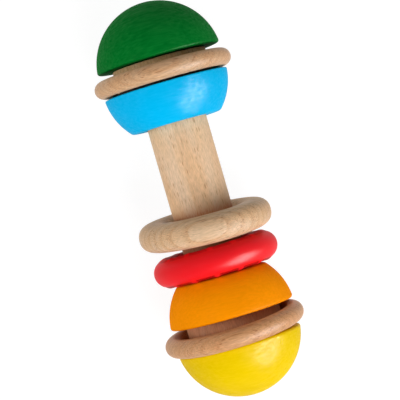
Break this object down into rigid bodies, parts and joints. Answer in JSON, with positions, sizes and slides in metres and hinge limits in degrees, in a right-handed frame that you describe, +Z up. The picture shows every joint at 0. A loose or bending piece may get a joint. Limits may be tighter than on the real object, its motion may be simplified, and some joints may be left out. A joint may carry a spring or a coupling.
{
  "type": "rattle stick",
  "caption": "Wooden baby rattle: a beech dowel handle between split painted balls, with loose rings that slide along the handle and spin in the ball gaps.",
  "frame": {"origin": "on the surface that the rattle lies on, below the middle of its length", "axes": "+X along the handle towards the yellow end, +Z up from the surface that the rings lie on"},
  "size_m": [0.1476, 0.0521, 0.0518],
  "materials": {
    "beech_handle": "satin, waxed",
    "beech_wide_ring": "satin, waxed",
    "beech_end_rings": "satin, waxed",
    "beech_hubs": "matt, bare",
    "green_paint": "satin paint on beech",
    "blue_paint": "satin paint on beech",
    "orange_paint": "satin paint on beech",
    "yellow_paint": "satin paint on beech",
    "red_plastic": "satin, moulded"
  },
  "bodies": {
    "stick": {"handle_dowel": "beech_handle", "green_dome": "green_paint", "green_end_hub": "beech_hubs", "blue_bowl": "blue_paint", "orange_bowl": "orange_paint", "yellow_end_hub": "beech_hubs", "yellow_dome": "yellow_paint"},
    "green_end_ring": {"green_end_ring": "beech_end_rings"},
    "yellow_end_ring": {"yellow_end_ring": "beech_end_rings"},
    "red_ring": {"red_teething_ring": "red_plastic"},
    "wide_ring": {"wide_beech_ring": "beech_wide_ring"}
  },
  "joints": [
    {"name": "green_end_ring_spin", "type": "hinge", "parent": "stick", "child": "green_end_ring", "pos_m": [-0.04702, 0, 0.02547], "axis": [1, 0, 0], "continuous": true},
    {"name": "yellow_end_ring_spin", "type": "hinge", "parent": "stick", "child": "yellow_end_ring", "pos_m": [0.04889, -0.0006, 0.02591], "axis": [0.9974, 0.0209, -0.0684], "continuous": true},
    {"name": "red_ring_slide", "type": "slide", "parent": "stick", "child": "red_ring", "axis": [-1, 0, 0], "range_m": [0, 0.0156]},
    {"name": "wide_ring_slide", "type": "slide", "parent": "red_ring", "child": "wide_ring", "axis": [-1, 0, 0], "range_m": [0, 0.0156]}
  ]
}
